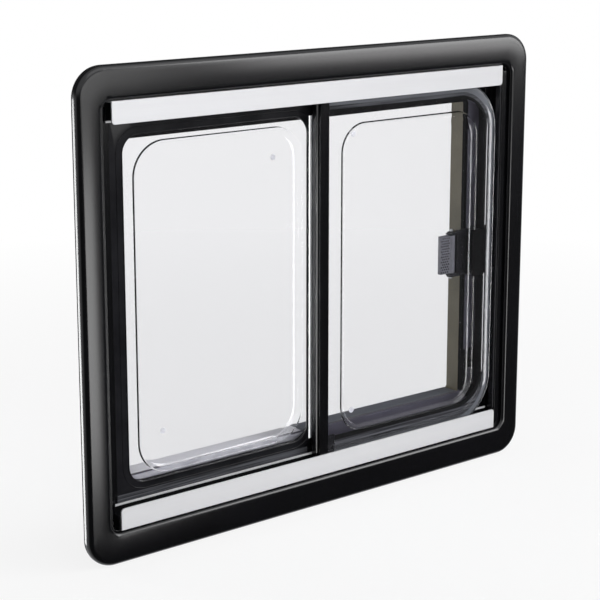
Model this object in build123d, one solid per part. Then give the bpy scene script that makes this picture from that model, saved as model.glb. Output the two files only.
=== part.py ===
from build123d import *
import os

# Sliding window of a caravan or camper, in millimetres.
# X runs to the right as seen from outside, Y into the wall and Z up.
# The origin is the window's centre, in the plane of the wall's outer skin.

# Wall and the hole cut in it
wall_t = 26.0
cutout_w = 588.0
cutout_h = 488.0

# Outer frame: flange on the wall, spigot through the hole, tunnel through both
flange_overlap = 27.0
flange_t = 13.0
flange_corner_r = 33.0
flange_edge_r = 7.0
spigot_gap = 1.5
spigot_corner_r = 12.0
spigot_side_t = 5.0
spigot_sill_t = 9.0
tunnel_corner_r = 8.0
lip_side_step = 4.5
lip_sill_step = 1.5
lip_depth = 7.0
lip_edge_r = 3.0

# Rails: three walls on a web, so two tracks
rail_end_gap = 0.5
rail_h = 24.4
rail_wall = 2.0
rail_setback = 3.0
rail_corner_r = 4.0
front_track = 14.0
rear_track = 14.0

# Jamb profiles at the sides of the tunnel
jamb_gap = 0.5
left_jamb_front = 2.0
left_nose_front = 9.0
right_nose_front = 10.0
right_nose_w = 11.0
right_jamb_t = 6.5
jamb_seal_w = 2.7
jamb_seal_depth = 8.0

# Fixed pane: two sheets held all round by a black gasket, in the rear track
fixed_setback = 4.0
gasket_lip = 1.7
gasket_wall = 3.0
gasket_left_in = 33.0
gasket_left_border = 17.5
gasket_right_border = 18.7
gasket_right_end = 10.0
gasket_rail_border = 16.1
gasket_opening_r = 20.0
gasket_rear_step = 4.5
gasket_lift = 5.5
fixed_outer_t = 3.5
fixed_inner_t = 2.5
fixed_dome_rise = 6.3
fixed_dome_left = 14.5
fixed_dome_right = 3.0
fixed_dome_top = 8.5
fixed_dome_bottom = 2.0
fixed_dome_r = 40.0
strip_w = 4.2
strip_t = 1.0
strip_inset = 2.2

# Sash: a formed outer sheet and a recessed inner sheet, in the front track
track_clear = 0.5
stile_left = -7.0
stile_w = 15.5
stile_skin = 2.0
stile_depth = 12.5
stile_over = 7.0
stile_chamfer = 1.6
sash_edge_clear = 0.8
sash_corner_r = 60.0
sash_outer_t = 3.5
sash_rim_depth = 6.0
sash_rim_r = 5.5
sash_inner_t = 2.5
sash_dome_rise = 4.5
sash_dome_left = 21.5
sash_dome_right = 32.5
sash_dome_top = 33.0
sash_dome_bottom = 26.0
sash_dome_r = 35.0
sheet_play = 0.3
dome_edge_r = 2.2
glider_h = 12.0
glider_len = 25.0
glider_run = 0.3
glider_far = 72.0
top_engage = 5.9
guide_h = 11.0
brush_w = 4.0
brush_in = 3.0
brush_clear = 0.3

# Vent plugs in the inner sheets
plug_r = 3.5
plug_head = 1.0
fixed_plug_in_x = 37.0
fixed_plug_head = 36.5
fixed_plug_sill = 46.0
sash_plug_in_x = 22.0
sash_plug_head = 14.0
sash_plug_sill = 26.0

# Lock on the room side of the sash
lock_h = 58.0
lock_edge_in = 18.5
lock_base_w = 13.0
lock_base_t = 10.5
housing_reach = 44.5
housing_right_in = 5.0
housing_t = 9.5
housing_chamfer = 4.0
ear_h = 4.5
pocket_w = 11.0
pin_in = 5.0
pin_r = 2.0
pin_over = 2.5
pin_clear = 0.05
knuckle_r = 5.0
lever_reach = 19.5
lever_t = 6.5
lever_clear = 0.5
lever_edge_r = 2.0
keeper_t = 2.6
keeper_h = 44.0
keeper_in = 1.5

# Clamp ring on the wall's inner skin and the trim that stands on it
clamp_t = 4.0
clamp_overlap = 10.0
sight_side = 44.0
sight_sill = 56.0
sight_corner_r = 4.0
trim_inset = 3.0
trim_depth = 22.0
trim_wall = 3.0
trim_corner_r = 20.0
trim_edge_r = 7.0

# Planes worked out from the sizes above
flange_front = -flange_t
frame_half_w = cutout_w / 2 + flange_overlap
frame_half_h = cutout_h / 2 + flange_overlap
spigot_half_w = cutout_w / 2 - spigot_gap
spigot_half_h = cutout_h / 2 - spigot_gap
tunnel_half_w = spigot_half_w - spigot_side_t
tunnel_half_h = spigot_half_h - spigot_sill_t
rail_end = tunnel_half_w - tunnel_corner_r - rail_end_gap
rail_front = flange_front + rail_setback
front_track_y = rail_front + rail_wall
mid_wall_y = front_track_y + front_track
rear_track_y = mid_wall_y + rail_wall
back_wall_y = rear_track_y + rear_track
rail_back = back_wall_y + rail_wall
rail_free = tunnel_half_h - rail_h
track_floor = tunnel_half_h - rail_wall
lip_back = flange_front + lip_depth


def slab(x, y, z, corner=0.0):
    """Block between pairs of limits, its edges along Y rounded."""
    size = (x[1] - x[0], y[1] - y[0], z[1] - z[0])
    middle = Pos((x[0] + x[1]) / 2, (y[0] + y[1]) / 2, (z[0] + z[1]) / 2)
    block = middle * Box(*size)
    if corner > 0:
        block = fillet(block.edges().filter_by(Axis.Y), corner)
    return block


def centred(half_w, half_h, y, corner=0.0):
    """Block centred on the Y axis."""
    return slab((-half_w, half_w), y, (-half_h, half_h), corner)


def grown(limits, amount):
    """Pair of limits moved outwards by an amount, or inwards where it is negative."""
    return (limits[0] - amount, limits[1] + amount)


def front_edges(solid):
    return solid.faces().sort_by(Axis.Y)[0].edges()


def back_edges(solid):
    return solid.faces().sort_by(Axis.Y)[-1].edges()


def make_outer_frame():
    flange = centred(frame_half_w, frame_half_h, (flange_front, 0), flange_corner_r)
    flange = fillet(front_edges(flange), flange_edge_r)
    spigot = centred(spigot_half_w, spigot_half_h, (0, wall_t), spigot_corner_r)
    tunnel = centred(tunnel_half_w, tunnel_half_h, (flange_front, wall_t), tunnel_corner_r)
    recess = centred(
        tunnel_half_w + lip_side_step,
        tunnel_half_h + lip_sill_step,
        (flange_front, lip_back),
        tunnel_corner_r + lip_side_step,
    )
    body = flange + spigot - tunnel - recess
    lip = body.faces().sort_by(Axis.Y)[0].inner_wires()[0].edges()
    return fillet(lip, lip_edge_r)


def make_rail(side):
    x = (-rail_end, rail_end)
    wall_z = sorted((side * rail_free, side * tunnel_half_h))
    web_z = sorted((side * track_floor, side * tunnel_half_h))
    front = slab(x, (rail_front, front_track_y), wall_z)
    ends = front.edges().filter_by(Axis.Y).sort_by(Axis.Z, reverse=side > 0)
    front = fillet(ends[2:], rail_corner_r)
    middle = slab(x, (mid_wall_y, rear_track_y), wall_z)
    back = slab(x, (back_wall_y, rail_back), wall_z)
    web = slab(x, (front_track_y, back_wall_y), web_z)
    return front + middle + back + web


# Jambs
jamb_half_h = tunnel_half_h - tunnel_corner_r
nose_half_h = rail_free - jamb_gap
jamb_in = rail_end + jamb_gap
gasket_left = -tunnel_half_w + gasket_left_in - gasket_left_border
jamb_right_in = tunnel_half_w - right_jamb_t


def make_left_jamb():
    base = slab((-tunnel_half_w, -jamb_in), (left_jamb_front, rail_back), (-jamb_half_h, jamb_half_h))
    nose = slab((-jamb_in, gasket_left), (left_nose_front, rail_back), (-nose_half_h, nose_half_h))
    return base + nose


def make_right_jamb():
    base = slab((jamb_right_in, tunnel_half_w), (front_track_y, rail_back), (-jamb_half_h, jamb_half_h))
    nose = slab(
        (jamb_right_in - right_nose_w, jamb_right_in),
        (right_nose_front, rail_back),
        (-nose_half_h, nose_half_h),
    )
    return base + nose


# Sash places
stile_front = front_track_y + track_clear
stile_back = stile_front + stile_depth
stile_right = stile_left + stile_w
glass_front = stile_front + stile_skin
sash_right = jamb_right_in - jamb_seal_w - sash_edge_clear
sash_left = stile_left + stile_w / 2
sash_bottom = -track_floor + glider_run + glider_h
sash_top = rail_free + top_engage
rim_back = glass_front + sash_rim_depth
bond_y = glass_front + sash_outer_t
sash_dome_x = (stile_right + sash_dome_left, sash_right - sash_dome_right)
sash_dome_z = (sash_bottom + sash_dome_bottom, sash_top - sash_dome_top)
sash_dome_back = bond_y + sash_dome_rise + sash_inner_t


def make_right_jamb_seal():
    x = (jamb_right_in - jamb_seal_w, jamb_right_in)
    y = (stile_front + track_clear, stile_front + track_clear + jamb_seal_depth)
    bulb = slab(x, y, (-nose_half_h, nose_half_h))
    crown = bulb.edges().filter_by(Axis.Z).sort_by(Axis.X)[:2]
    return fillet(crown, jamb_seal_w / 2)


# Fixed pane places
gasket_front = rear_track_y + fixed_setback
fixed_front = gasket_front + gasket_lip
fixed_bond_y = fixed_front + fixed_outer_t
fixed_back = fixed_bond_y + fixed_inner_t
gasket_back = fixed_back + gasket_lip
gasket_x = (gasket_left, gasket_right_end)
gasket_z = (-track_floor, track_floor - gasket_lift)
opening_x = (gasket_left + gasket_left_border, gasket_right_end - gasket_right_border)
opening_half_h = rail_free - gasket_rail_border
opening_z = (-opening_half_h, opening_half_h)
fixed_x = grown(gasket_x, -gasket_wall)
fixed_z = grown(gasket_z, -gasket_wall)
fixed_dome_x = (opening_x[0] + fixed_dome_left, opening_x[1] - fixed_dome_right)
fixed_dome_z = (opening_z[0] + fixed_dome_bottom, opening_z[1] - fixed_dome_top)
fixed_dome_back = fixed_bond_y + fixed_dome_rise + fixed_inner_t


def formed_sheet(border, dome_x, dome_z, dome_r, bond, rise, thickness):
    """Sheet with a flat border on the bond plane and a tray formed towards the room."""
    tray_y = (bond, bond + rise + thickness)
    tray = slab(dome_x, tray_y, dome_z, dome_r)
    tray = fillet(back_edges(tray), dome_edge_r)
    hollow_y = (bond, bond + rise)
    hollow = slab(grown(dome_x, -thickness), hollow_y, grown(dome_z, -thickness), dome_r - thickness)
    return border + tray - hollow


def make_fixed_gasket():
    ring = slab(gasket_x, (gasket_front, gasket_back), gasket_z)
    window = slab(opening_x, (gasket_front, gasket_back), opening_z, gasket_opening_r)
    rear_x = (opening_x[0], opening_x[1] + gasket_rear_step)
    rear_window = slab(rear_x, (fixed_back, gasket_back), opening_z, gasket_opening_r)
    pane = slab(fixed_x, (fixed_front, fixed_back), fixed_z)
    return ring - window - rear_window - pane


def make_fixed_outer_sheet():
    return slab(fixed_x, (fixed_front, fixed_bond_y), fixed_z)


def make_fixed_inner_sheet():
    border = slab(fixed_x, (fixed_bond_y, fixed_back), fixed_z)
    return formed_sheet(
        border,
        fixed_dome_x,
        fixed_dome_z,
        fixed_dome_r,
        fixed_bond_y,
        fixed_dome_rise,
        fixed_inner_t,
    )


def make_meeting_strip():
    x0 = opening_x[1] + strip_inset
    return slab((x0, x0 + strip_w), (gasket_front - strip_t, gasket_front), opening_z)


def make_plugs(places, back):
    plugs = []
    for x, z in places:
        disc = Pos(x, back + plug_head / 2, z) * Rot(90, 0, 0) * Cylinder(plug_r, plug_head)
        plugs.append(disc)
    return Compound(children=plugs)


def sash_block(inset, y, corner):
    """Outline of the sash, with its free corners rounded and moved inwards by an inset."""
    block = slab((sash_left + inset, sash_right - inset), y, (sash_bottom + inset, sash_top - inset))
    free = block.edges().filter_by(Axis.Y).sort_by(Axis.X)[2:]
    return fillet(free, corner)


def make_sash_outer_sheet():
    shell = sash_block(0, (glass_front, rim_back), sash_corner_r)
    rim = front_edges(shell).sort_by(Axis.X)[1:]
    shell = fillet(rim, sash_rim_r)
    hollow = sash_block(sash_outer_t, (bond_y, rim_back), sash_corner_r - sash_outer_t)
    return shell - hollow


def make_sash_inner_sheet():
    inset = sash_outer_t + sheet_play
    border = sash_block(inset, (bond_y, bond_y + sash_inner_t), sash_corner_r - inset)
    return formed_sheet(
        border,
        sash_dome_x,
        sash_dome_z,
        sash_dome_r,
        bond_y,
        sash_dome_rise,
        sash_inner_t,
    )


def make_stile():
    bar_z = (-rail_free - stile_over, rail_free + stile_over)
    bar = slab((stile_left, stile_right), (stile_front, stile_back), bar_z)
    corner = bar.edges().filter_by(Axis.Z).sort_by(Axis.X)[:2].sort_by(Axis.Y)[0]
    bar = chamfer(corner, stile_chamfer)
    slot = slab((sash_left, stile_right), (glass_front, rim_back), (sash_bottom, sash_top))
    return bar - slot


def make_stile_brush():
    x0 = stile_left + brush_in
    tip = gasket_front - strip_t - brush_clear
    return slab((x0, x0 + brush_w), (stile_back, tip), (-nose_half_h, nose_half_h))


def shoe_spans():
    """Limits in X of the shoe beside the stile and of the one near the far corner."""
    far = sash_right - glider_far
    return ((stile_right, stile_right + glider_len), (far - glider_len, far))


def make_gliders():
    y = (stile_front, stile_back)
    z = (sash_bottom - glider_h, sash_bottom)
    return Compound(children=[slab(x, y, z) for x in shoe_spans()])


def make_top_guides():
    y = (stile_front, stile_back)
    z = (sash_top, sash_top + guide_h)
    return Compound(children=[slab(x, y, z) for x in shoe_spans()])


# Lock places
lock_half_h = lock_h / 2
lock_base_x = (sash_right - lock_edge_in - lock_base_w, sash_right - lock_edge_in)
lock_base_y = (bond_y + sash_inner_t, bond_y + sash_inner_t + lock_base_t)
housing_x = (lock_base_x[1] - housing_reach, lock_base_x[1] - housing_right_in)
housing_y = (lock_base_y[1], lock_base_y[1] + housing_t)
pocket_half_h = lock_half_h - ear_h
pin_x = housing_x[0] + pin_in
pin_y = (housing_y[0] + housing_y[1]) / 2


def upright(radius, half_h):
    """Round bar on the lock's pivot line."""
    return Pos(pin_x, pin_y, 0) * Cylinder(radius, 2 * half_h)


def make_lock_base():
    return slab(lock_base_x, lock_base_y, (-lock_half_h, lock_half_h))


def make_lock_housing():
    block = slab(housing_x, housing_y, (-lock_half_h, lock_half_h))
    far_ends = block.edges().filter_by(Axis.X).sort_by(Axis.Y)[2:]
    block = chamfer(far_ends, housing_chamfer)
    pocket = slab(
        (housing_x[0], housing_x[0] + pocket_w),
        housing_y,
        (-pocket_half_h, pocket_half_h),
    )
    return block - pocket - upright(pin_r + pin_clear, lock_half_h)


def make_lock_lever():
    half_h = pocket_half_h - lever_clear
    grip_y = (pin_y - lever_t / 2, pin_y + lever_t / 2)
    grip = slab((pin_x - lever_reach, pin_x), grip_y, (-half_h, half_h))
    tip = grip.edges().filter_by(Axis.Z).sort_by(Axis.X)[:2]
    grip = fillet(tip, lever_edge_r)
    return grip + upright(knuckle_r, half_h) - upright(pin_r + pin_clear, half_h)


def make_lock_keeper():
    nose_left = jamb_right_in - right_nose_w
    return slab(
        (nose_left - keeper_t, nose_left),
        (right_nose_front + keeper_in, rail_back - keeper_in),
        (-keeper_h / 2, keeper_h / 2),
    )


# Room side
clamp_back = wall_t + clamp_t
trim_back = clamp_back + trim_depth
sight_half_w = cutout_w / 2 - sight_side
sight_half_h = cutout_h / 2 - sight_sill
trim_half_w = cutout_w / 2 - trim_inset
trim_half_h = cutout_h / 2 - trim_inset


def make_clamp_ring():
    plate = centred(
        cutout_w / 2 + clamp_overlap,
        cutout_h / 2 + clamp_overlap,
        (wall_t, clamp_back),
        trim_corner_r + trim_inset + clamp_overlap,
    )
    return plate - centred(sight_half_w, sight_half_h, (wall_t, clamp_back), sight_corner_r)


def make_inner_trim():
    cover = centred(trim_half_w, trim_half_h, (clamp_back, trim_back), trim_corner_r)
    cover = fillet(back_edges(cover), trim_edge_r)
    hollow = centred(
        trim_half_w - trim_wall,
        trim_half_h - trim_wall,
        (clamp_back, trim_back - trim_wall),
        trim_corner_r - trim_wall,
    )
    hollow = fillet(back_edges(hollow), trim_edge_r - trim_wall)
    skirt = centred(
        sight_half_w + trim_wall,
        sight_half_h + trim_wall,
        (clamp_back, trim_back),
        sight_corner_r + trim_wall,
    )
    sight = centred(sight_half_w, sight_half_h, (clamp_back, trim_back), sight_corner_r)
    return cover - (hollow - skirt) - sight


nodes = {
    "outer_frame": make_outer_frame(),
    "top_rail": make_rail(1),
    "bottom_rail": make_rail(-1),
    "left_jamb": make_left_jamb(),
    "right_jamb": make_right_jamb(),
    "right_jamb_seal": make_right_jamb_seal(),
    "fixed_pane_gasket": make_fixed_gasket(),
    "fixed_outer_sheet": make_fixed_outer_sheet(),
    "fixed_inner_sheet": make_fixed_inner_sheet(),
    "fixed_pane_plugs": make_plugs(
        (
            (fixed_dome_x[1] - fixed_plug_in_x, fixed_dome_z[1] - fixed_plug_head),
            (fixed_dome_x[0] + fixed_plug_in_x, fixed_dome_z[0] + fixed_plug_sill),
        ),
        fixed_dome_back,
    ),
    "meeting_strip": make_meeting_strip(),
    "clamp_ring": make_clamp_ring(),
    "inner_trim": make_inner_trim(),
    "lock_keeper": make_lock_keeper(),
    "sash_outer_sheet": make_sash_outer_sheet(),
    "sash_inner_sheet": make_sash_inner_sheet(),
    "sash_stile": make_stile(),
    "stile_brush": make_stile_brush(),
    "sash_gliders": make_gliders(),
    "sash_top_guides": make_top_guides(),
    "sash_plugs": make_plugs(
        (
            (sash_dome_x[0] + sash_plug_in_x, sash_dome_z[1] - sash_plug_head),
            (sash_dome_x[0] + sash_plug_in_x, sash_dome_z[0] + sash_plug_sill),
        ),
        sash_dome_back,
    ),
    "lock_base": make_lock_base(),
    "lock_housing": make_lock_housing(),
    "lock_pin": upright(pin_r, lock_half_h + pin_over),
    "lock_lever": make_lock_lever(),
}

os.makedirs("parts", exist_ok=True)
for name, solid in nodes.items():
    export_step(solid, f"parts/{name}.step")
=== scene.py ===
import bmesh
import bpy
import math
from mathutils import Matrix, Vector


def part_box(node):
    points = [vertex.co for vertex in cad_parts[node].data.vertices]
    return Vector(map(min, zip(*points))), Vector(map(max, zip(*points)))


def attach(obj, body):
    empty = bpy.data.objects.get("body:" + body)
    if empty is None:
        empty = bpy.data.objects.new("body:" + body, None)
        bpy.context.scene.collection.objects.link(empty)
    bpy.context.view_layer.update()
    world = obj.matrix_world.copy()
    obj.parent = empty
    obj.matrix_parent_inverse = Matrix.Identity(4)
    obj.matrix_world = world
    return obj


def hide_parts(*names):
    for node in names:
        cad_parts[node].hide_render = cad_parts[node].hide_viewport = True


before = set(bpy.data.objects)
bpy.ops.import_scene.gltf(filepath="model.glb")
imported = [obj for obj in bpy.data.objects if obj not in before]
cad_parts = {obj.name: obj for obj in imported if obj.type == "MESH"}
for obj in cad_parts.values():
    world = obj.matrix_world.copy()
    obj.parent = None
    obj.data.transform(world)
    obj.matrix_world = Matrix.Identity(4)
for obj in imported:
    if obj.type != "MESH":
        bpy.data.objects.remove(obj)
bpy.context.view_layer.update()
mm = 0.001  # the frame is in metres, the sizes below are in millimetres
print("frame loaded:", len(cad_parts), "nodes")


def limits(node):  # a node's box at rest, in millimetres: x0, x1, y0, y1, z0, z1
    low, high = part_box(node)
    return [value / mm for pair in zip(low, high) for value in pair]


def shares(steps, first=0):  # even steps from 0 to 1; with first=1 the 0 is left out
    return [k / steps for k in range(first, steps + 1)]


def linear(code):  # sRGB hex to a linear colour
    parts = [int(code[k:k + 2], 16) / 255 for k in (1, 3, 5)]
    return [c / 12.92 if c <= 0.04045 else ((c + 0.055) / 1.055) ** 2.4 for c in parts] + [1.0]


def perMetre(size):  # texture scale that gives features of this many millimetres
    return 1 / (size * mm)


def addNode(tree, kind, values=None, links=None, **settings):
    node = tree.nodes.new(kind)
    for name, value in settings.items():
        setattr(node, name, value)
    for name, value in (values or {}).items():
        node.inputs[name].default_value = value
    for name, source in (links or {}).items():
        tree.links.new(source, node.inputs[name])
    return node


def startMaterial(name, **values):
    material = bpy.data.materials.new(name)
    material.use_nodes = True
    tree = material.node_tree
    tree.nodes.clear()
    sockets = {label.replace("_", " "): value for label, value in values.items()}
    shader = addNode(tree, "ShaderNodeBsdfPrincipled", sockets)
    addNode(tree, "ShaderNodeOutputMaterial", links={"Surface": shader.outputs[0]})
    place = addNode(tree, "ShaderNodeTexCoord").outputs["Object"]
    return material, tree, shader, place


noise = {"patchDetail": 4.0, "grainDetail": 2.0, "toneEnds": (0.35, 0.65), "roughEnds": (0.3, 0.7)}
rangeEnds = ("From Min", "From Max", "To Min", "To Max")  # a Map Range node's sockets


def weather(finish, colours, patch, rough, grain, depth, stretch=(1, 1, 1)):
    # patch and grain are feature sizes in millimetres, depth is the grain's height, stretch draws both out
    material, tree, shader, place = finish
    drawn = addNode(tree, "ShaderNodeMapping", {"Scale": stretch}, {"Vector": place}).outputs[0]
    broad = {"Scale": perMetre(patch), "Detail": noise["patchDetail"]}
    close = {"Scale": perMetre(grain), "Detail": noise["grainDetail"]}
    wide = addNode(tree, "ShaderNodeTexNoise", broad, {"Vector": drawn}).outputs[0]
    fine = addNode(tree, "ShaderNodeTexNoise", close, {"Vector": drawn}).outputs[0]
    tone = addNode(tree, "ShaderNodeValToRGB", links={"Fac": wide})
    for stop, position, colour in zip(tone.color_ramp.elements, noise["toneEnds"], colours):
        stop.position = position
        stop.color = linear(colour)
    ends = dict(zip(rangeEnds, noise["roughEnds"] + rough))
    spread = addNode(tree, "ShaderNodeMapRange", ends, {"Value": fine})
    bump = addNode(tree, "ShaderNodeBump", {"Strength": 1.0, "Distance": depth * mm}, {"Height": fine})
    tree.links.new(tone.outputs["Color"], shader.inputs["Base Color"])
    tree.links.new(spread.outputs["Result"], shader.inputs["Roughness"])
    tree.links.new(bump.outputs["Normal"], shader.inputs["Normal"])
    return material


def castAcrylic(name, tint, ripple):
    # cast acrylic sheet, polished: water clear, with dark and bright lines where the sheet bends
    material, tree, shader, place = startMaterial(
        name, Transmission_Weight=1.0, Roughness=0.0, IOR=1.49, Base_Color=linear(tint)
    )
    swell = {"Scale": perMetre(ripple["size"]), "Detail": 1.0}
    wave = addNode(tree, "ShaderNodeTexNoise", swell, {"Vector": place}).outputs[0]
    depth = ripple["depth"] * mm
    bump = addNode(tree, "ShaderNodeBump", {"Strength": 1.0, "Distance": depth}, {"Height": wave})
    tree.links.new(bump.outputs["Normal"], shader.inputs["Normal"])
    # a clear path for shadow rays lets the lamps reach what is behind the sheet
    shadow = addNode(tree, "ShaderNodeLightPath").outputs["Is Shadow Ray"]
    clear = addNode(tree, "ShaderNodeBsdfTransparent", {"Color": linear(tint)}).outputs[0]
    either = addNode(tree, "ShaderNodeMixShader", links={0: shadow, 1: shader.outputs[0], 2: clear})
    output = next(node for node in tree.nodes if node.type == "OUTPUT_MATERIAL")
    tree.links.new(either.outputs[0], output.inputs["Surface"])
    return material


finishes = {
    # integral-skin polyurethane, moulded: deep satin black with broad soft reflections
    "frameBlack": weather(
        startMaterial("mouldedPolyurethaneBlack", IOR=1.5),
        ("#08080a", "#0b0b0e"), 70, (0.18, 0.22), 1.6, 0.0005,
    ),
    # extruded aluminium, satin anodised: a cloudy oxide skin scatters much of the light,
    # so it looks silky and near white
    "railAluminium": weather(
        startMaterial("satinAnodisedAluminium", Metallic=0.4),
        ("#d7d7d9", "#dfdfe1"), 40, (0.60, 0.66), 1.0, 0.001, (0.02, 1, 1),
    ),
    # extruded aluminium, powder coated: black with a low orange-peel sheen
    "profileBlack": weather(
        startMaterial("powderCoatedAluminiumBlack", IOR=1.5),
        ("#08080a", "#0c0c0e"), 50, (0.14, 0.18), 1.8, 0.002,
    ),
    # EPDM rubber, extruded: soft black with a low sheen; its black is lifted to a dark grey, painted light
    # that makes up for the lamp kept off the gasket and jamb
    "sealRubber": weather(
        startMaterial("extrudedRubberBlack", IOR=1.5, Specular_IOR_Level=0.25),
        ("#161619", "#202023"), 30, (0.16, 0.22), 0.9, 0.004,
    ),
    "clearAcrylic": castAcrylic("castAcrylicClear", "#fefeff", {"size": 55, "depth": 0.0015}),
    # polythene, moulded: milky plugs that all but vanish against the sheet
    "plugClear": weather(
        startMaterial("mouldedPolythenePale", IOR=1.5, Alpha=0.75),
        ("#f0f1f4", "#f8f8fa"), 6, (0.35, 0.45), 0.6, 0.004,
    ),
    # stainless steel strip, brushed along its length: grey glints broken into fine lines
    "stripSteel": weather(
        startMaterial("brushedStainlessSteel", Metallic=1.0),
        ("#e2e3e5", "#eeeff0"), 12, (0.55, 0.64), 0.5, 0.003, (1, 1, 0.02),
    ),
    # ABS, moulded and spark textured: even mid grey with a cool cast
    "clampGrey": weather(
        startMaterial("mouldedAbsGrey", IOR=1.53),
        ("#45434e", "#4f4d59"), 40, (0.36, 0.46), 1.0, 0.012,
    ),
    # ABS, moulded with a leather-like grain: a warm cream, its colour darkened to olive as painted shade for
    # the reveal it lines
    "trimCreamPaintedShade": weather(
        startMaterial("grainedAbsCreamPaintedShade", IOR=1.53),
        ("#504b37", "#605a47"), 60, (0.42, 0.55), 1.4, 0.03,
    ),
    # glass-filled nylon, moulded: flat black, lightly mottled
    "lockBlack": weather(
        startMaterial("mouldedNylonBlack", IOR=1.53, Specular_IOR_Level=0.3),
        ("#101013", "#17171b"), 14, (0.22, 0.30), 0.8, 0.004,
    ),
    # the same nylon in grey: the lever and the drain clip stand out softly from the black
    "lockGrey": weather(
        startMaterial("mouldedNylonGrey", IOR=1.53),
        ("#54545b", "#626269"), 10, (0.30, 0.40), 0.8, 0.008,
    ),
    # polypropylene pile: soot black bristles with a dull sheen
    "brushPile": weather(
        startMaterial("polypropylenePileBlack", IOR=1.49),
        ("#060607", "#101012"), 3, (0.55, 0.70), 0.4, 0.005,
    ),
    # acetal, moulded: dark slide plastic, waxy
    "gliderPlastic": weather(
        startMaterial("mouldedAcetalDark", IOR=1.48),
        ("#2a2a2d", "#333337"), 12, (0.28, 0.36), 1.0, 0.006,
    ),
    # turned steel pin: grey metal with rings too fine to show, drawn at half a millimetre
    "pinSteel": weather(
        startMaterial("turnedSteel", Metallic=1.0),
        ("#9fa0a3", "#b2b3b6"), 8, (0.26, 0.36), 0.5, 0.002, (0.05, 0.05, 1),
    ),
    # dark grey flock with streaks along its length: painted shade, standing in for shaded aluminium seen
    # behind the sheets
    "flockPaintedShade": weather(
        startMaterial("flockedLinerPaintedShade", IOR=1.45, Specular_IOR_Level=0.2),
        ("#1b1c1f", "#55565b"), 1.6, (0.60, 0.75), 0.6, 0.02, (0.02, 1, 1),
    ),
    # closed-cell foam: dead black, faintly pitted
    "foamBlack": weather(
        startMaterial("closedCellFoamBlack", IOR=1.45, Specular_IOR_Level=0.1),
        ("#060607", "#0b0b0c"), 8, (0.70, 0.85), 0.7, 0.03,
    ),
    # rigid PVC, extruded: pale sill strip, soft sheen
    "sillPale": weather(
        startMaterial("extrudedPvcPale", IOR=1.54),
        ("#dcdce0", "#e8e8eb"), 50, (0.34, 0.44), 1.2, 0.006, (0.03, 1, 1),
    ),
    # the same PVC darkened to grey: painted shade on the sash's side of the sill and at the edge of the
    # sash's rim
    "pvcPaintedShade": weather(
        startMaterial("extrudedPvcPaintedShade", IOR=1.54),
        ("#55585e", "#63666c"), 50, (0.34, 0.44), 1.2, 0.006, (0.03, 1, 1),
    ),
    # needle felt: mid grey with loose fibres that blur its tone
    "feltGrey": weather(
        startMaterial("needleFeltGrey", IOR=1.45, Specular_IOR_Level=0.2),
        ("#a5a5ac", "#bcbcc2"), 5, (0.70, 0.85), 0.7, 0.03, (0.3, 1, 1),
    ),
    # zinc-plated steel screws: pale bluish metal, slightly cloudy
    "screwZinc": weather(
        startMaterial("zincPlatedSteel", Metallic=1.0),
        ("#b9bcc2", "#cfd1d6"), 3, (0.28, 0.40), 0.6, 0.003,
    ),
}
print("materials:", len(finishes))


def addPiece(name, mesh, body, finish, nodes=(), angle=32, flat=False):
    # edges that turn by more than the angle stay sharp
    mesh.materials.clear()
    mesh.materials.append(finishes[finish])
    mesh.polygons.foreach_set("use_smooth", [True] * len(mesh.polygons))
    mesh.set_sharp_from_angle(angle=math.radians(angle))
    piece = bpy.data.objects.new(name, mesh)
    bpy.context.scene.collection.objects.link(piece)
    if flat:  # broad faces shade flat up to their eased edges
        even = piece.modifiers.new("even", "WEIGHTED_NORMAL")
        even.keep_sharp = True
        shot = piece.evaluated_get(bpy.context.evaluated_depsgraph_get())
        piece.data = bpy.data.meshes.new_from_object(shot)
        piece.modifiers.remove(even)
    piece.data.name = name
    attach(piece, body)
    if nodes:
        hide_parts(*nodes)


def meshFrom(solid):
    mesh = bpy.data.meshes.new("piece")
    solid.to_mesh(mesh)
    solid.free()
    return mesh


def roundedLoop(x, z, radii, y, steps=14):
    # points round a rectangle from its lower right corner, seen from outside; radii in the same order
    points = []
    ends = ((x[1], z[0], 1, -1), (x[1], z[1], 1, 1), (x[0], z[1], -1, 1), (x[0], z[0], -1, -1))
    for quarter, ((cx, cz, sx, sz), radius) in enumerate(zip(ends, radii)):
        for share in shares(steps):
            turn = math.radians(90 * (quarter - 1 + share))
            across = cx - sx * radius + radius * math.cos(turn)
            points.append((across, y, cz - sz * radius + radius * math.sin(turn)))
    return points


def skinLoops(loops, joined=False, capped=False):
    solid = bmesh.new()
    rows = [[solid.verts.new([c * mm for c in point]) for point in loop] for loop in loops]
    pairs = list(zip(rows, rows[1:])) + ([(rows[-1], rows[0])] if joined else [])
    for near, far in pairs:
        for k in range(len(near)):
            after = (k + 1) % len(near)
            solid.faces.new((near[k], near[after], far[after], far[k]))
    if capped:
        solid.faces.new(rows[0])
        solid.faces.new(rows[-1])
    bmesh.ops.recalc_face_normals(solid, faces=solid.faces)
    return meshFrom(solid)


# Outer frame: the flange's face is crowned a little, so that it shades from its outer edge to its lip
flange = {
    "cornerR": 33, "concentricTo": 7, "edgeR": 6.6, "edgeTurn": 85, "crownR": 140,
    "rebate": 3.0, "rebateY": -2.4, "rebateEase": 0.3,
    "lipR": 4.5, "lipX": 292, "lipZ": 235, "lipCorner": 12.5, "ledge": -6,
    "tunnelX": 287.5, "tunnelZ": 233.5, "tunnelCorner": 8,
    "spigotX": 292.5, "spigotZ": 242.5, "spigotCorner": 12,
    "bevel": 0.4, "edgeSteps": 10, "crownSteps": 12, "lipSteps": 8, "sharpFrom": 40,
}
x0, x1, y0, y1, z0, z1 = limits("outer_frame")
section = []  # half width, half height, corner radius, y, once round the frame's section


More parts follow.
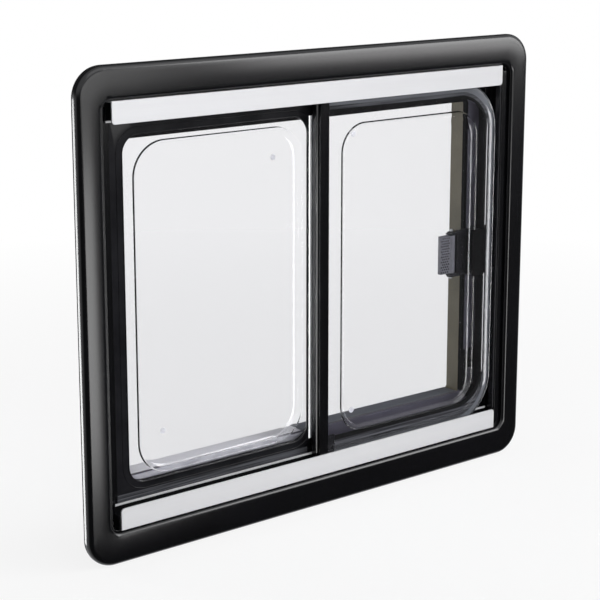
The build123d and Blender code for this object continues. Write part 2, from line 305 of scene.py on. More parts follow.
def outerPoint(inset, insetZ, y):
    # corners are concentric near the outer edge, then turn over to the lip's own radius
    lipInset = x1 - flange["lipX"]
    lipRadius = flange["lipCorner"] + flange["lipR"]
    radius = flange["cornerR"] - inset
    if inset >= flange["concentricTo"]:
        radius += (lipRadius + lipInset - flange["cornerR"]) * min(1, inset / lipInset)
    section.append((x1 - inset, z1 - insetZ, max(radius, lipRadius), y))


bevel, ledge, rebate, ease = flange["bevel"], flange["ledge"], flange["rebate"], flange["rebateEase"]
spigot = (flange["spigotX"], flange["spigotZ"], flange["spigotCorner"])
section.append((*spigot, y1 - bevel))
section.append((*spigot, 0))
outerPoint(rebate, rebate, 0)
outerPoint(rebate, rebate, flange["rebateY"])
outerPoint(ease, ease, flange["rebateY"])
outerPoint(0, 0, flange["rebateY"] - ease)
turnEnd = math.radians(flange["edgeTurn"])
crownStart = flange["edgeR"] * (1 - math.cos(turnEnd))
crownRise = flange["crownR"] * (1 - math.sin(turnEnd))
edgeY = y0 + crownRise + flange["edgeR"] * math.sin(turnEnd)
for share in shares(flange["edgeSteps"]):
    inset = flange["edgeR"] * (1 - math.cos(turnEnd * share))
    outerPoint(inset, inset, edgeY - flange["edgeR"] * math.sin(turnEnd * share))
crownTop = crownStart + flange["crownR"] * math.cos(turnEnd)
lipStartX = x1 - flange["lipX"] - flange["lipR"]
lipStartZ = z1 - flange["lipZ"] - flange["lipR"]
for share in shares(flange["crownSteps"], 1):
    inset = crownStart + (lipStartX - crownStart) * share
    insetZ = crownStart + (lipStartZ - crownStart) * share
    fall = flange["crownR"] - math.sqrt(flange["crownR"] ** 2 - (inset - crownTop) ** 2)
    outerPoint(inset, insetZ, y0 + fall)
lipY = section[-1][3]
for share in shares(flange["lipSteps"], 1):
    turn = math.radians(90 * share)
    reach = flange["lipR"] * (1 - math.sin(turn))
    wide, high, corner = flange["lipX"] + reach, flange["lipZ"] + reach, flange["lipCorner"] + reach
    section.append((wide, high, corner, lipY + flange["lipR"] * (1 - math.cos(turn))))
section.append((flange["lipX"], flange["lipZ"], flange["lipCorner"], ledge))
for grow, y in ((bevel, ledge), (0, ledge + bevel), (0, y1 - bevel), (bevel, y1)):
    section.append((flange["tunnelX"] + grow, flange["tunnelZ"] + grow, flange["tunnelCorner"] + grow, y))
section.append((*[size - bevel for size in spigot], y1))
mesh = skinLoops([roundedLoop((-w, w), (-h, h), [r] * 4, y) for w, h, r, y in section], joined=True)
addPiece("outerFrame", mesh, "frame", "frameBlack", ["outer_frame"], flange["sharpFrom"])

# A dead black seal in the rebate; its black also serves as painted shade along the flange's back edge
seal = {"edgeX": 320.5, "edgeZ": 270.5, "width": 2.4, "y": (-2.35, -0.02)}  # black seal in the rebate
front, back = seal["y"]
loops = []
for inset, y in ((0, front), (0, back), (seal["width"], back), (seal["width"], front)):
    wide, high = seal["edgeX"] - inset, seal["edgeZ"] - inset
    loops.append(roundedLoop((-wide, wide), (-high, high), [flange["cornerR"] - inset] * 4, y))
addPiece("wallSeal", skinLoops(loops, joined=True), "frame", "foamBlack")
print("outer frame:", len(section), "rings")

# Pieces that keep their CAD shape, with eased edges
easing = {"merge": 0.02, "flatTo": 1.5, "sharpFrom": 40, "steps": 3}  # mm, degrees, degrees, rows of faces
eased = (  # piece, node, body, slot, finish, width of the eased edge
    ("topRail", "top_rail", "frame", "rail_aluminium", "railAluminium", 0.35),
    ("bottomRail", "bottom_rail", "frame", "rail_aluminium", "railAluminium", 0.35),
    ("leftJamb", "left_jamb", "frame", "profile_black", "profileBlack", 0.5),
    ("rightJamb", "right_jamb", "frame", "profile_black", "profileBlack", 0.5),
    ("jambSeal", "right_jamb_seal", "frame", "seal_rubber", "sealRubber", 0.3),
    ("clampRing", "clamp_ring", "frame", "clamp_grey", "clampGrey", 0.6),
    ("innerTrim", "inner_trim", "frame", "trim_cream", "trimCreamPaintedShade", 0.6),
    ("lockKeeper", "lock_keeper", "frame", "lock_black", "lockBlack", 0.5),
    ("fixedPlugs", "fixed_pane_plugs", "frame", "plug_clear", "plugClear", 0.35),
    ("sashPlugs", "sash_plugs", "sash", "plug_clear", "plugClear", 0.35),
    ("sashGliders", "sash_gliders", "sash", "glider_plastic", "gliderPlastic", 0.6),
    ("sashTopGuides", "sash_top_guides", "sash", "glider_plastic", "gliderPlastic", 0.6),
    ("lockBase", "lock_base", "sash", "lock_black", "lockBlack", 0.6),
    ("lockHousing", "lock_housing", "sash", "lock_black", "lockBlack", 0.6),
    ("lockPin", "lock_pin", "sash", "pin_steel", "pinSteel", 0.4),
    ("lockLever", "lock_lever", "lever", "lock_grey", "lockGrey", 0.5),
)


def easedCopy(node, width):
    # the node's own shape with its triangles joined into faces and its sharp edges eased
    solid = bmesh.new()
    solid.from_mesh(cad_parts[node].data)
    bmesh.ops.remove_doubles(solid, verts=solid.verts, dist=easing["merge"] * mm)
    flat, sharp = math.radians(easing["flatTo"]), math.radians(easing["sharpFrom"])
    bmesh.ops.dissolve_limit(solid, angle_limit=flat, verts=solid.verts, edges=solid.edges)
    edges = [edge for edge in solid.edges if len(edge.link_faces) == 2 and edge.calc_face_angle() > sharp]
    bmesh.ops.bevel(
        solid, geom=edges, offset=width * mm, segments=easing["steps"], profile=0.5, affect="EDGES",
        clamp_overlap=True,
    )
    return meshFrom(solid)


for name, node, body, slot, finish, width in eased:
    addPiece(name, easedCopy(node, width), body, finish, [node], flat=True)
print("eased pieces:", len(eased))

# Acrylic sheets: the fixed pane's outer sheet is flat, the others are drawn to shape
sheets = {
    "bondGap": 0.15,  # keeps the bonded faces apart for the renderer
    "fixed": {
        "dome": (-240, -11.7, -191, 184.5), "corner": 40, "rise": 6.3, "thickness": 2.35,
        "edgeR": 0.6, "floorR": 9, "lean": 52, "steps": 10,
    },
    "sash": {
        "dome": (30, 245, -193.2, 182), "corner": 35, "rise": 4.5, "thickness": 2.35,
        "edgeR": 0.6, "floorR": 8, "lean": 50, "steps": 10,
    },
    "sashCorner": 60, "hiddenCorner": 1, "cornerSteps": 20,
    "rimWidth": 14, "rimDepth": 5, "rimWall": 3.5, "rimBevel": 0.4, "wallPast": 1,
    "rimSteps": 12, "wallSteps": 8,
    "railSide": 0.4, "stileSide": 0.4,  # shares of the rim's width where the rails and the stile hide it
    "innerInset": 1.5, "innerLeft": 4,
}


def trayWall(tray):
    # one wall of a formed tray as (inset, y) pairs on its outside face and on its room face:
    # a tight bend at the border, a short slope and a wide soft bend into the floor
    bend, thick = math.radians(tray["lean"]), tray["thickness"]
    edgeR, floorR = tray["edgeR"] + thick, tray["floorR"]
    straight = (tray["rise"] - (edgeR + floorR) * (1 - math.cos(bend))) / math.sin(bend)
    path = []
    for share in shares(tray["steps"]):
        turn = bend * share
        path.append((edgeR * math.sin(turn), edgeR * (1 - math.cos(turn)), turn))
    endX = path[-1][0] + straight * math.cos(bend)
    endY = path[-1][1] + straight * math.sin(bend)
    for share in shares(tray["steps"]):
        turn = bend * (1 - share)
        across = endX + floorR * (math.sin(bend) - math.sin(turn))
        path.append((across, endY + floorR * (math.cos(turn) - math.cos(bend)), turn))
    outside = [(x, y) for x, y, turn in path]
    room = [(x - thick * math.sin(turn), y + thick * math.cos(turn)) for x, y, turn in path]
    return outside, room


def traySheet(border, borderRadii, tray, front):
    outside, room = trayWall(tray)
    left, right, low, high = tray["dome"]

    def wallLoop(inset, y):
        radii = [tray["corner"] - inset] * 4
        return roundedLoop((left + inset, right - inset), (low + inset, high - inset), radii, front + y)

    def borderLoop(y):
        return roundedLoop(border[:2], border[2:], borderRadii, y)

    loops = [wallLoop(inset, y) for inset, y in reversed(outside)]
    loops += [borderLoop(front), borderLoop(front + tray["thickness"])]
    loops += [wallLoop(inset, y) for inset, y in room]
    return skinLoops(loops, capped=True)


gap, hidden = sheets["bondGap"], [sheets["hiddenCorner"]]
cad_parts["fixed_outer_sheet"].data.materials.clear()
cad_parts["fixed_outer_sheet"].data.materials.append(finishes["clearAcrylic"])
x0, x1, y0, y1, z0, z1 = limits("fixed_inner_sheet")
mesh = traySheet((x0, x1, z0, z1), hidden * 4, sheets["fixed"], y0 + gap)
addPiece("fixedInnerSheet", mesh, "frame", "clearAcrylic", ["fixed_inner_sheet"])

x0, x1, y0, y1, z0, z1 = limits("sash_outer_sheet")
bondY = limits("sash_inner_sheet")[2]


def sashLoop(inset, y):
    insetZ = sheets["railSide"] * inset
    corner = sheets["sashCorner"] - (inset + insetZ) / 2
    sides = (x0 + sheets["stileSide"] * inset, x1 - inset)
    return roundedLoop(sides, (z0 + insetZ, z1 - insetZ), [corner] * 2 + hidden * 2, y, sheets["cornerSteps"])


rim, deep, wall, bevel = sheets["rimWidth"], sheets["rimDepth"], sheets["rimWall"], sheets["rimBevel"]
wallY = y1 - bevel
loops = []
for share in shares(sheets["rimSteps"]):
    turn = math.radians(90 * share)
    loops.append(sashLoop(rim * (1 - math.sin(turn)), y0 + deep - deep * math.cos(turn)))
loops += [sashLoop(0, wallY), sashLoop(bevel, y1), sashLoop(wall - bevel, y1), sashLoop(wall, wallY)]
for share in shares(sheets["wallSteps"], 1):
    turn = math.radians(90 * share)
    inset = wall + (rim + sheets["wallPast"] - wall) * (1 - math.cos(turn))
    loops.append(sashLoop(inset, wallY - (wallY - bondY) * math.sin(turn)))
mesh = skinLoops(loops, capped=True)
addPiece("sashOuterSheet", mesh, "sash", "clearAcrylic", ["sash_outer_sheet"])

inset = rim + sheets["innerInset"]
border = (x0 + sheets["innerLeft"], x1 - inset, z0 + inset, z1 - inset)
mesh = traySheet(border, [sheets["sashCorner"] - inset] * 2 + hidden * 2, sheets["sash"], bondY + gap)
addPiece("sashInnerSheet", mesh, "sash", "clearAcrylic", ["sash_inner_sheet"])
print("acrylic sheets: 4")

# Gasket of the fixed pane: a channel with a bead at its lip and a second ridge further out
gasket = {
    "open": (-254.5, -8.7, -193, 193), "openR": 20, "edgeR": 1.0, "lip": 1.6, "wall": 2.9, "rearStep": 4.5,
    "bevel": 0.5, "beadR": 0.7, "ridge": 8.0, "ridgeR": 0.5, "beadSteps": 6, "sharpFrom": 40,
}
x0, x1, y0, y1, z0, z1 = limits("fixed_pane_gasket")


def openLoop(grow, y, right=0):
    left, far, low, high = gasket["open"]
    radii = [gasket["openR"] + grow] * 4
    return roundedLoop((left - grow, far + grow + right), (low - grow, high + grow), radii, y)


def edgeLoop(inset, y):
    return roundedLoop((x0 + inset, x1 - inset), (z0 + inset, z1 - inset), [gasket["edgeR"]] * 4, y)


bevel, lip, wall, step = gasket["bevel"], gasket["lip"], gasket["wall"], gasket["rearStep"]
loops = [edgeLoop(0, y0 + bevel), edgeLoop(bevel, y0)]
for middle, radius in ((gasket["ridge"], gasket["ridgeR"]), (gasket["beadR"], gasket["beadR"])):
    for share in shares(gasket["beadSteps"]):
        turn = math.radians(180 * share)
        loops.append(openLoop(middle + radius * math.cos(turn), y0 - radius * math.sin(turn)))
loops += [openLoop(0, y0 + lip), edgeLoop(wall, y0 + lip)]
loops += [edgeLoop(wall, y1 - lip), openLoop(0, y1 - lip, step)]
loops += [openLoop(0, y1, step), edgeLoop(bevel, y1), edgeLoop(0, y1 - bevel)]
mesh = skinLoops(loops, joined=True)
addPiece("paneGasket", mesh, "frame", "sealRubber", ["fixed_pane_gasket"], gasket["sharpFrom"])
print("pane gasket:", len(loops), "rings")


# Bars with one section along their length: the crowned meeting strip, the stile, strips of painted shade in
# the tracks, the bead
def bar(profile, ends, axis):
    # profile points are (x, y) for a bar along z, or (y, z) for a bar along x
    if axis == "x":
        loops = [[(end, u, v) for u, v in profile] for end in ends]
    else:
        loops = [[(u, v, end) for u, v in profile] for end in ends]
    return skinLoops(loops, capped=True)


strip = {"crown": 0.65, "steps": 10}
x0, x1, y0, y1, z0, z1 = limits("meeting_strip")
profile = [(x1, y1), (x0, y1)]
for share in shares(strip["steps"]):
    profile.append((x0 + (x1 - x0) * share, y0 + strip["crown"] * (2 * share - 1) ** 2))
addPiece("meetingStrip", bar(profile, (z0, z1), "z"), "frame", "stripSteel", ["meeting_strip"])

stile = {
    "ledge": 2.6, "ledgeY": 4.1, "fall": 0.5, "round": 0.5, "roundSteps": 6, "bevel": 0.5,
    "slotX": 0.75, "slotY": (-5.5, 0.5), "sharpFrom": 6,
}
x0, x1, y0, y1, z0, z1 = limits("sash_stile")
cut, corner, slotX, (slotFront, slotBack) = stile["bevel"], stile["round"], stile["slotX"], stile["slotY"]
step, shelf = x0 + stile["ledge"], y0 + stile["ledgeY"]  # a sloping ledge runs down its left edge
profile = [(x1, y0 + cut), (x1 - cut, y0), (step + cut, y0), (step, y0 + cut), (step, shelf)]
for share in shares(stile["roundSteps"]):
    turn = math.radians(90 * share)
    across = x0 + corner * (1 - math.sin(turn))
    profile.append((across, shelf + stile["fall"] + corner * (1 - math.cos(turn))))
profile += [(x0, y1 - cut), (x0 + cut, y1), (x1 - cut, y1), (x1, y1 - cut)]
profile += [(x1, slotBack), (slotX, slotBack), (slotX, slotFront), (x1, slotFront)]  # slot for the sheets
mesh = bar(profile, (z0, z1), "z")
addPiece("sashStile", mesh, "sash", "profileBlack", ["sash_stile"], stile["sharpFrom"])

# Track strips: dead black in the front track and under the top rail, streaked dark grey in the rear track:
# painted shade for the shaded insides of the channels, with the top of the rail's wall left bare
track = {
    "front": (-8, 6), "rear": (8, 22), "web": -231.5, "skin": 0.4, "pile": 0.2, "bare": 2.2, "rearStart": 12,
    "play": 0.05,
}
x0, x1, y0, y1, z0, z1 = limits("bottom_rail")
skin, pile, play = track["skin"], track["pile"], track["play"]
low, high = track["web"] + play, z1 - track["bare"]
for name, (near, far), start, finish in (
    ("frontLiner", track["front"], x0, "foamBlack"),
    ("rearLiner", track["rear"], track["rearStart"], "flockPaintedShade"),
):
    near, far = near + play, far - play
    profile = [
        (near, low), (far, low), (far, high), (far - skin / 2, high + pile), (far - skin, high),
        (far - skin, low + pile), (near, low + pile),
    ]
    addPiece(name, bar(profile, (start, x1), "x"), "frame", finish)

far = track["front"][1] - play
low, high = track["bare"] - z1, -track["web"] - play  # the top rail is the bottom one turned over
profile = [(far, low), (far, high), (far - skin, high), (far - skin, low)]
addPiece("topLiner", bar(profile, (x0, x1), "x"), "frame", "foamBlack")

bead = {
    "ends": (-271, -8.5), "foot": -211, "height": 8.4, "tilt": 15, "front": 10.75, "back": 11.95, "steps": 8,
}
tilt = math.radians(bead["tilt"])
hollow = bead["height"] / math.sin(tilt)  # radius of the bead's hollow face, which turns up towards its foot
profile = [(bead["back"], bead["foot"] + bead["height"]), (bead["back"], bead["foot"])]
for share in shares(bead["steps"]):
    turn = tilt * (1 - share)
    out = bead["front"] + hollow * (math.cos(turn) - math.cos(tilt))
    profile.append((out, bead["foot"] + hollow * (math.sin(tilt) - math.sin(turn))))
addPiece("paneBead", bar(profile, bead["ends"], "x"), "frame", "flockPaintedShade")

# Stops that close the front track at both ends and lap over the rail's end
stop = {"length": 7, "lap": 1.2, "height": 14, "bevel": 0.8, "above": 0.35, "foot": 0.2}
end, foot, top, cut = x1 + play, z0 + stop["foot"], track["web"] + stop["height"], stop["bevel"]
tip, lap, seat = end - stop["length"], end + stop["lap"], track["web"] + stop["above"]
outline = [
    (lap, foot), (lap, top - cut), (lap - cut, top), (tip + cut, top), (tip, top - cut), (tip, seat),
    (end, seat), (end, foot),
]
near, far = track["front"][0] + play, track["front"][1] - skin - 2 * play
for name, side in (("leftTrackStop", -1), ("rightTrackStop", 1)):
    loops = [[(side * x, y, z) for x, z in outline] for y in (near, far)]
    addPiece(name, skinLoops(loops, capped=True), "frame", "sealRubber")
print("bars: strip, stile, liners, bead, stops")


# Strips that follow a path: a dead black strip in the clamp ring's opening and three strips round the sash's
# rim, all of them painted shade
def strand(paths, section):  # section points are (path, y), once round
    loops = [[(spots[k][0], y, spots[k][2]) for k, y in section] for spots in zip(*paths)]
    return skinLoops(loops, capped=True)


# the strip stands in for the dark gap between the clamp ring and the trim: painted shade
gapShade = {
    "sightX": 250, "sightZ": 188, "corner": 4, "grow": (-0.5, -0.05, 3.6), "foot": -186, "steps": 6,
    "skin": 0.6, "off": 0.05, "past": 0.4,
}
x0, x1, y0, y1, z0, z1 = limits("clamp_ring")
paths = []
for grow in gapShade["grow"]:
    wide, high = gapShade["sightX"] + grow, gapShade["sightZ"] + grow
    arch = roundedLoop((-wide, wide), (-high, high), [gapShade["corner"] + grow] * 4, 0, gapShade["steps"])
    quarter = len(arch) // 4
    arch = arch[quarter:3 * quarter]  # up the right side, across and down the left
    paths.append([(wide, 0, gapShade["foot"])] + arch + [(-wide, 0, gapShade["foot"])])
front, seat, back = y0 - gapShade["skin"], y0 - gapShade["off"], y1 + gapShade["past"]
mesh = strand(paths, ((0, front), (2, front), (2, seat), (1, seat), (1, back), (0, back)))
addPiece("ringEdging", mesh, "frame", "foamBlack")

bond = {  # the four lines between which the three strips lie, from the outside in
    "x": (276, 269.5, 266, 262), "low": (-217.5, -211, -198, -192), "high": (213, 204, 199.5, 195.5),
    "corner": (58, 51.5, 48, 44), "start": 23, "end": 9, "y": (0.62, 1.3),
}
paths = []
for right, low, high, corner in zip(bond["x"], bond["low"], bond["high"], bond["corner"]):
    bend = roundedLoop((0, right), (low, high), [corner] * 4, 0)
    bend = bend[:len(bend) // 2]  # the two right-hand corners
    paths.append([(bond["start"], 0, low)] + bend + [(bond["end"], 0, high)])
front, back = bond["y"]
# grey at the outside, then streaked dark grey, then dead black: painted shade for the shaded track seen
# through the rim's curve
rimShadeStrips = (("rimEdge", "pvcPaintedShade"), ("rimBond", "flockPaintedShade"), ("rimBondEdge", "foamBlack"))
for k, (name, finish) in enumerate(rimShadeStrips):
    mesh = strand(paths[k:k + 2], ((0, front), (1, front), (1, back), (0, back)))
    addPiece(name, mesh, "sash", finish)

# Sill in two tones, pale on the left and darkened on the sash's side as painted shade, and the felt below it
sill = {
    "y": (30.3, 51.7), "z": (-187.95, -187.4), "feltY": (25.4, 25.95), "feltZ": (-201, -188.3),
    "ends": (-246, -6, 246),
}


def oblongProfile(y, z):
    return [(y[0], z[0]), (y[1], z[0]), (y[1], z[1]), (y[0], z[1])]


left, right = sill["ends"][:2], sill["ends"][1:]
for name, ends, finish in (("sillLeft", left, "sillPale"), ("sillRight", right, "pvcPaintedShade")):
    mesh = bar(oblongProfile(sill["y"], sill["z"]), ends, "x")
    addPiece(name, mesh, "frame", finish)
mesh = bar(oblongProfile(sill["feltY"], sill["feltZ"]), left, "x")
addPiece("sillFelt", mesh, "frame", "feltGrey")
print("strips: edging, rim, sill, felt")


# Small blocks with rounded corners, built up in layers
def block(x, z, corner, layers, leastR=0.3, steps=4):  # layers are (inset, y) pairs
    loops = []
    for inset, y in layers:
        sides, ends = (x[0] + inset, x[1] - inset), (z[0] + inset, z[1] - inset)
        loops.append(roundedLoop(sides, ends, [max(corner - inset, leastR)] * 4, y, steps))
    return skinLoops(loops, capped=True)


blocks = (  # piece, body, slot, finish, x, z, corner radius, layers
    ("stileFoot", "sash", "lock_black", "lockBlack", (12, 22), (-212, -190), 1.5,
     ((0, 0.55), (0, 1.6), (0.3, 1.9), (1.4, 2.0), (1.7, 3.0), (2.1, 3.3))),
    ("lockPad", "sash", "lock_black", "foamBlack", (241, 260), (-29.5, 29.5), 2,
     ((0, -1.97), (0, -1.88))),
    ("clipPad", "frame", "lock_black", "foamBlack", (253.8, 273), (-197, -132), 2,
     ((0, 25.95), (0, 25.5), (0.3, 25.3))),
    ("drainClip", "frame", "lock_grey", "lockGrey", (258.5, 271), (-181, -158), 2,
     ((0, 25.25), (0, 24.7), (0.4, 24.3), (1.4, 24.1))),
    ("brushHolder", "sash", "brush_pile", "gliderPlastic", (-4, 0), (-208.6, 208.6), 0.8,
     ((0, 5.02), (0, 5.7), (0.4, 6.0))),
)
for name, body, slot, finish, *shape in blocks:
    addPiece(name, block(*shape), body, finish)
print("small blocks:", len(blocks))


# Geometry Nodes: bristles in rows, pips on the lever, screws round the clamp ring
def newTree(name, **sockets):
    tree = bpy.data.node_groups.new(name, "GeometryNodeTree")
    tree.interface.new_socket(name="Geometry", in_out="INPUT", socket_type="NodeSocketGeometry")
    for label, kind in sockets.items():
        tree.interface.new_socket(name=label, in_out="INPUT", socket_type="NodeSocket" + kind)
    tree.interface.new_socket(name="Geometry", in_out="OUTPUT", socket_type="NodeSocketGeometry")
    return tree, addNode(tree, "NodeGroupInput").outputs


def endTree(tree, points, given, **links):
    placed = addNode(
        tree, "GeometryNodeInstanceOnPoints", links={"Points": points, "Instance": given["Geometry"], **links}
    )
    real = addNode(tree, "GeometryNodeRealizeInstances", links={"Geometry": placed.outputs[0]})
    dressed = addNode(
        tree, "GeometryNodeSetMaterial", links={"Geometry": real.outputs[0], "Material": given["finish"]}
    )
    addNode(tree, "NodeGroupOutput", links={"Geometry": dressed.outputs[0]})


def grownMesh(tree, source, values):
    holder = bpy.data.objects.new("grown", source)
    bpy.context.scene.collection.objects.link(holder)
    grower = holder.modifiers.new("grow", "NODES")
    grower.node_group = tree
    for item in tree.interface.items_tree:
        if item.in_out == "INPUT" and item.name in values:
            grower[item.identifier] = values[item.name]
    shot = holder.evaluated_get(bpy.context.evaluated_depsgraph_get())
    mesh = bpy.data.meshes.new_from_object(shot)
    holder.modifiers.remove(grower)
    bpy.data.objects.remove(holder)
    return mesh


def turned(rings):  # a small shape turned on the y axis; a ring is (radii, y)
    loops = []
    for radii, y in rings:
        turns = [math.tau * k / len(radii) for k in range(len(radii))]
        loops.append([(r * math.cos(turn), y, r * math.sin(turn)) for r, turn in zip(radii, turns)])
    return skinLoops(loops, capped=True)


def inMetres(*values):
    return [value * mm for value in values]


bristle = {  # taper is (share of the length, share of the thickness); shortest is a share of the length
    "thick": 0.5, "sides": 4, "taper": ((0, 1), (0.6, 0.9), (1, 0.4)), "shortest": 0.75,
}
pileRow, given = newTree(
    "pileRow", start="Vector", end="Vector", bristles="Int", scatter="Vector", aim="Vector", lean="Vector",
    seed="Int", finish="Material",
)
row = addNode(pileRow, "GeometryNodeMeshLine", links={
    "Count": given["bristles"], "Start Location": given["start"], "Offset": given["end"],
}, mode="END_POINTS")
apart = []
for label in ("scatter", "lean"):
    back = addNode(pileRow, "ShaderNodeVectorMath", {"Scale": -1.0}, {0: given[label]}, operation="SCALE")
    apart.append(addNode(
        pileRow, "FunctionNodeRandomValue",
        links={0: back.outputs[0], 1: given[label], "Seed": given["seed"]}, data_type="FLOAT_VECTOR",
    ).outputs[0])
loose = addNode(pileRow, "GeometryNodeSetPosition", links={"Geometry": row.outputs[0], "Offset": apart[0]})
aimed = addNode(pileRow, "ShaderNodeVectorMath", links={0: given["aim"], 1: apart[1]}, operation="ADD")
turn = addNode(pileRow, "FunctionNodeEulerToRotation", links={0: aimed.outputs[0]})
length = addNode(
    pileRow, "FunctionNodeRandomValue", {0: [bristle["shortest"]] * 3, 1: (1, 1, 1)}, {"Seed": given["seed"]},
    data_type="FLOAT_VECTOR",
)
endTree(pileRow, loose.outputs[0], given, Rotation=turn.outputs[0], Scale=length.outputs[0])


def growPile(pile):
    half, (x, y) = bristle["thick"] / 2, pile["at"]
    rings = [([half * share] * bristle["sides"], pile["length"] * along) for along, share in bristle["taper"]]
    return grownMesh(pileRow, turned(rings), {
        "start": inMetres(x, y, -pile["reach"]), "end": inMetres(x, y, pile["reach"]),
        "scatter": inMetres(*pile["scatter"]), "aim": pile["aim"], "lean": pile["lean"],
        "bristles": pile["bristles"], "seed": pile["seed"], "finish": finishes["brushPile"],
    })


stilePile = {
    "at": (-2, 5.95), "reach": 207.8, "length": 4.6, "bristles": 1500, "seed": 4,
    "scatter": (1.5, 0.05, 0.4), "aim": (0, 0, 0), "lean": (0.1, 0, 0.08),
}
addPiece("stileBrush", growPile(stilePile), "sash", "brushPile", ["stile_brush"])
stripPile = {
    "at": (-6.4, 11.6), "reach": 192.4, "length": 2.0, "bristles": 900, "seed": 9,
    "scatter": (0.2, 0.2, 0.4), "aim": (0, 0, math.pi / 2), "lean": (0, 0, 0.1),
}
addPiece("stripBristles", growPile(stripPile), "frame", "brushPile")

pipField, given = newTree(
    "pipField", width="Float", height="Float", columns="Int", rows="Int", middle="Vector", stagger="Float",
    finish="Material",
)
grid = addNode(pipField, "GeometryNodeMeshGrid", links={
    "Size X": given["width"], "Size Y": given["height"],
    "Vertices X": given["columns"], "Vertices Y": given["rows"],
})
index = addNode(pipField, "GeometryNodeInputIndex").outputs[0]
line = addNode(pipField, "ShaderNodeMath", links={0: index, 1: given["rows"]}, operation="MODULO")
odd = addNode(pipField, "ShaderNodeMath", {1: 2.0}, {0: line.outputs[0]}, operation="MODULO").outputs[0]
slide = addNode(pipField, "ShaderNodeMath", links={0: odd, 1: given["stagger"]}, operation="MULTIPLY")
across = addNode(pipField, "ShaderNodeCombineXYZ", links={"X": slide.outputs[0]})
shifted = addNode(
    pipField, "GeometryNodeSetPosition", links={"Geometry": grid.outputs["Mesh"], "Offset": across.outputs[0]}
)
upright = addNode(
    pipField, "GeometryNodeTransform", {"Rotation": (math.pi / 2, 0, 0)},
    {"Geometry": shifted.outputs[0], "Translation": given["middle"]},
)
endTree(pipField, upright.outputs[0], given)
pips = {
    "radius": 1.2, "sides": 8, "rings": ((1, 0.1), (0.9, -0.2), (0.5, -0.45)),  # share of the radius, y
    "pitch": 3.3, "columns": 4, "rows": 14, "left": 201.6, "behind": 1.75,
}
grip = limits("lock_lever")[2] + pips["behind"]  # the grip's face, behind the knuckle's front
wide, high = pips["pitch"] * (pips["columns"] - 1), pips["pitch"] * (pips["rows"] - 1)
pip = turned([([pips["radius"] * share] * pips["sides"], y) for share, y in pips["rings"]])
mesh = grownMesh(pipField, pip, {
    "width": wide * mm, "height": high * mm, "columns": pips["columns"], "rows": pips["rows"],
    "middle": inMetres(pips["left"] + wide / 2, grip, 0), "stagger": pips["pitch"] / 2 * mm,
    "finish": finishes["lockBlack"],
})
addPiece("leverPips", mesh, "lever", "lockBlack")

screws = {
    "count": 18, "inFromEdge": 6.5, "corner": 26, "cornerSteps": 8, "headR": 3.4, "sides": 12,
    "head": ((1, -0.2), (1, 0.5), (0.88, 1.2), (0.66, 1.9)),  # share of the head's radius, y
    "arm": (1.7, 1.7, 0.55), "slotDepth": 1.1,  # one arm of the cross slot, as radii
}
screwRing, given = newTree(
    "screwRing", width="Float", height="Float", corner="Float", screws="Int", depth="Float", finish="Material"
)
oblong = addNode(screwRing, "GeometryNodeCurvePrimitiveQuadrilateral", links={
    "Width": given["width"], "Height": given["height"],
})
rounded = addNode(
    screwRing, "GeometryNodeFilletCurve", {"Count": screws["cornerSteps"]},
    {"Curve": oblong.outputs[0], "Radius": given["corner"]}, mode="POLY",
)
back = addNode(screwRing, "ShaderNodeCombineXYZ", links={"Y": given["depth"]})
stood = addNode(
    screwRing, "GeometryNodeTransform", {"Rotation": (math.pi / 2, 0, 0)},
    {"Geometry": rounded.outputs[0], "Translation": back.outputs[0]},
)
spots = addNode(screwRing, "GeometryNodeCurveToPoints", links={
    "Curve": stood.outputs[0], "Count": given["screws"],
}, mode="COUNT")
endTree(screwRing, spots.outputs["Points"], given)
x0, x1, y0, y1, z0, z1 = limits("clamp_ring")
rings = [([screws["headR"] * share] * screws["sides"], y) for share, y in screws["head"]]
cross, top = screws["arm"] * 4, screws["head"][-1][1]
head = turned(rings + [(cross, top), (cross, top - screws["slotDepth"])])
mesh = grownMesh(screwRing, head, {
    "width": 2 * (x1 - screws["inFromEdge"]) * mm, "height": 2 * (z1 - screws["inFromEdge"]) * mm,
    "corner": screws["corner"] * mm, "screws": screws["count"], "depth": y1 * mm,
    "finish": finishes["screwZinc"],
})
addPiece("ringScrews", mesh, "frame", "screwZinc")
print("grown pieces: bristles, pips, screws")

# Studio: pale floor, white surround, soft boxes, and the camera at the photograph's angle
studio = {
    "floorZ": -271.5, "floorR": 9000, "floorSides": 96, "floorTone": "#e9e9ea",
    "floorShade": 0.16, "shadeReach": (0.4, 1.6),  # share of real shading near by, metres where it fades
    "surround": "#f4f5f8", "ambient": 0.25,
    "lens": 96.1, "sensor": 36, "shiftY": -0.12,
    "eye": (-1120.2, -1415.3, 446.8), "yaw": 37.65, "pitch": 11.99,
}
softboxes = (  # name, degrees to the right of straight out, degrees up, distance, width, height, radiance
    ("overheadBox", 10, 55, 2200, 2000, 1400, 0.9),
    ("frontFill", 5, 8, 2000, 1600, 700, 1.8),
    ("flangeCard", 10.4, -15.7, 1962, 700, 745, 4.8),  # mostly below the floor: shows in reflections alone
    ("rightBox", 47, 22, 2000, 1072, 1340, 4.6),
    ("leftCard", -130, -11.6, 822, 140, 700, 9.0),
    ("rimCard", 55.5, -10.8, 2246, 300, 800, 3.2),
    ("stripCard", -35, -5, 1200, 900, 900, 8.0),
    ("railCard", 14, -4, 2000, 1600, 1200, 2.85),
)
rails = ["topRail", "bottomRail"]
onlyFor = {"rimCard": ["sashOuterSheet"], "stripCard": ["meetingStrip"], "railCard": rails}
leftOut = {"rightBox": ["sashOuterSheet"] + rails, "flangeCard": ["paneGasket", "leftJamb"]}
